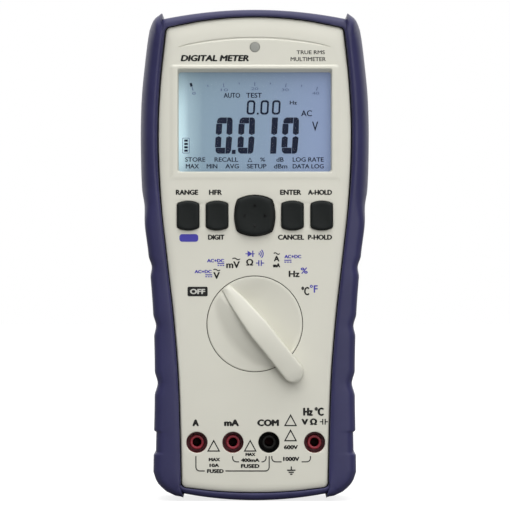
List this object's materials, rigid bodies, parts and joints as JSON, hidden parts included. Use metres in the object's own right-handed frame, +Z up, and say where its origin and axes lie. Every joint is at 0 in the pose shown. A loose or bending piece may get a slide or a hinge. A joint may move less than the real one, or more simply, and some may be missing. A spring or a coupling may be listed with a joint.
{
  "type": "handheld digital multimeter",
  "caption": "Handheld digital multimeter in a rubber holster, with display, keys, rotary selector, test-lead jacks, tilt stand and battery door.",
  "frame": {"origin": "under the middle of the meter, at its lowest point", "axes": "+Z up the meter, -Y the way the display faces, +X to the right seen from the front"},
  "size_m": [0.0954, 0.05, 0.2046],
  "materials": {
    "holster_rubber": "moulded blue elastomer, fine matt texture",
    "case_cream": "fine-textured cream moulding",
    "key_rubber": "charcoal silicone rubber, matt",
    "dark_plastic": "black moulded plastic",
    "stand_plastic": "charcoal moulded plastic",
    "lens_clear": "clear moulded window, polished",
    "lcd": "display glass with dark segments, lit from behind",
    "light_guide": "white light guide",
    "sensor_window": "smoked grey window",
    "jack_red": "red moulded insulator",
    "jack_black": "black moulded insulator",
    "brass": "plated contact metal",
    "steel": "zinc-plated steel",
    "circuit_board": "green solder mask",
    "rotor_plastic": "natural white moulding",
    "fuse_ceramic": "sand-filled ceramic tube with end caps",
    "battery_jacket": "printed metal jacket, no markings",
    "port_window": "dark red infrared window"
  },
  "bodies": {
    "case": {"holster": "holster_rubber", "front_case": "case_cream", "rear_case": "case_cream", "case_gasket": "dark_plastic", "display_lens": "lens_clear", "lcd_glass": "lcd", "lcd_backlight": "light_guide", "lcd_frame": "dark_plastic", "zebra_strip": "key_rubber", "sensor_lens": "sensor_window", "keypad_mat": "key_rubber", "detent_spring": "steel", "jack_a": "jack_red", "jack_ma": "jack_red", "jack_com": "jack_black", "jack_v": "jack_red", "jack_contact_a": "brass", "jack_contact_ma": "brass", "jack_contact_com": "brass", "jack_contact_v": "brass", "main_pcb": "circuit_board", "input_pcb": "circuit_board", "board_header": "dark_plastic", "meter_chip": "dark_plastic", "buzzer": "dark_plastic", "shield_plate": "steel", "fuse_10a": "fuse_ceramic", "fuse_400ma": "fuse_ceramic", "fuse_clip_1": "brass", "fuse_clip_2": "brass", "fuse_clip_3": "brass", "fuse_clip_4": "brass", "current_shunt": "steel", "battery": "battery_jacket", "battery_snap": "dark_plastic", "case_screw_1": "steel", "case_screw_2": "steel", "case_screw_3": "steel", "case_screw_4": "steel", "board_screw_1": "steel", "board_screw_2": "steel", "board_screw_3": "steel", "board_screw_4": "steel", "ir_window": "port_window"},
    "selector": {"selector_knob": "case_cream", "knob_shaft": "steel", "switch_rotor": "rotor_plastic", "rotor_wiper_1": "brass", "rotor_wiper_2": "brass"},
    "range_key": {"key_range": "key_rubber"},
    "filter_key": {"key_filter": "key_rubber"},
    "enter_key": {"key_enter": "key_rubber"},
    "hold_key": {"key_hold": "key_rubber"},
    "nav_gimbal": {"nav_stem": "steel"},
    "nav_cap": {"nav_pad": "key_rubber"},
    "stand": {"tilt_stand": "stand_plastic"},
    "door": {"battery_door": "case_cream", "door_screw_1": "steel", "door_screw_2": "steel"}
  },
  "joints": [
    {"name": "knob_turn", "type": "hinge", "parent": "case", "child": "selector", "pos_m": [0, -0.0185, 0.0736], "axis": [0, -1, 0], "range_deg": [-100, 20]},
    {"name": "range_press", "type": "slide", "parent": "case", "child": "range_key", "axis": [0, 1, 0], "range_m": [0, 0.0012], "stiffness_N_per_m": 400, "springref_m": -0.0005},
    {"name": "filter_press", "type": "slide", "parent": "case", "child": "filter_key", "axis": [0, 1, 0], "range_m": [0, 0.0012], "stiffness_N_per_m": 400, "springref_m": -0.0005},
    {"name": "enter_press", "type": "slide", "parent": "case", "child": "enter_key", "axis": [0, 1, 0], "range_m": [0, 0.0012], "stiffness_N_per_m": 400, "springref_m": -0.0005},
    {"name": "hold_press", "type": "slide", "parent": "case", "child": "hold_key", "axis": [0, 1, 0], "range_m": [0, 0.0012], "stiffness_N_per_m": 400, "springref_m": -0.0005},
    {"name": "nav_rock", "type": "hinge", "parent": "case", "child": "nav_gimbal", "pos_m": [0, -0.0155, 0.1187], "axis": [1, 0, 0], "range_deg": [-3, 3], "stiffness_Nm_per_rad": 0.06},
    {"name": "nav_sway", "type": "hinge", "parent": "nav_gimbal", "child": "nav_cap", "pos_m": [0, -0.0155, 0.1187], "axis": [0, 0, 1], "range_deg": [-3, 3], "stiffness_Nm_per_rad": 0.06},
    {"name": "stand_swing", "type": "hinge", "parent": "case", "child": "stand", "pos_m": [0, 0.0206, 0.158], "axis": [1, 0, 0], "range_deg": [0, 60]},
    {"name": "door_lift", "type": "slide", "parent": "case", "child": "door", "axis": [0, 1, 0], "range_m": [0, 0.03]}
  ]
}
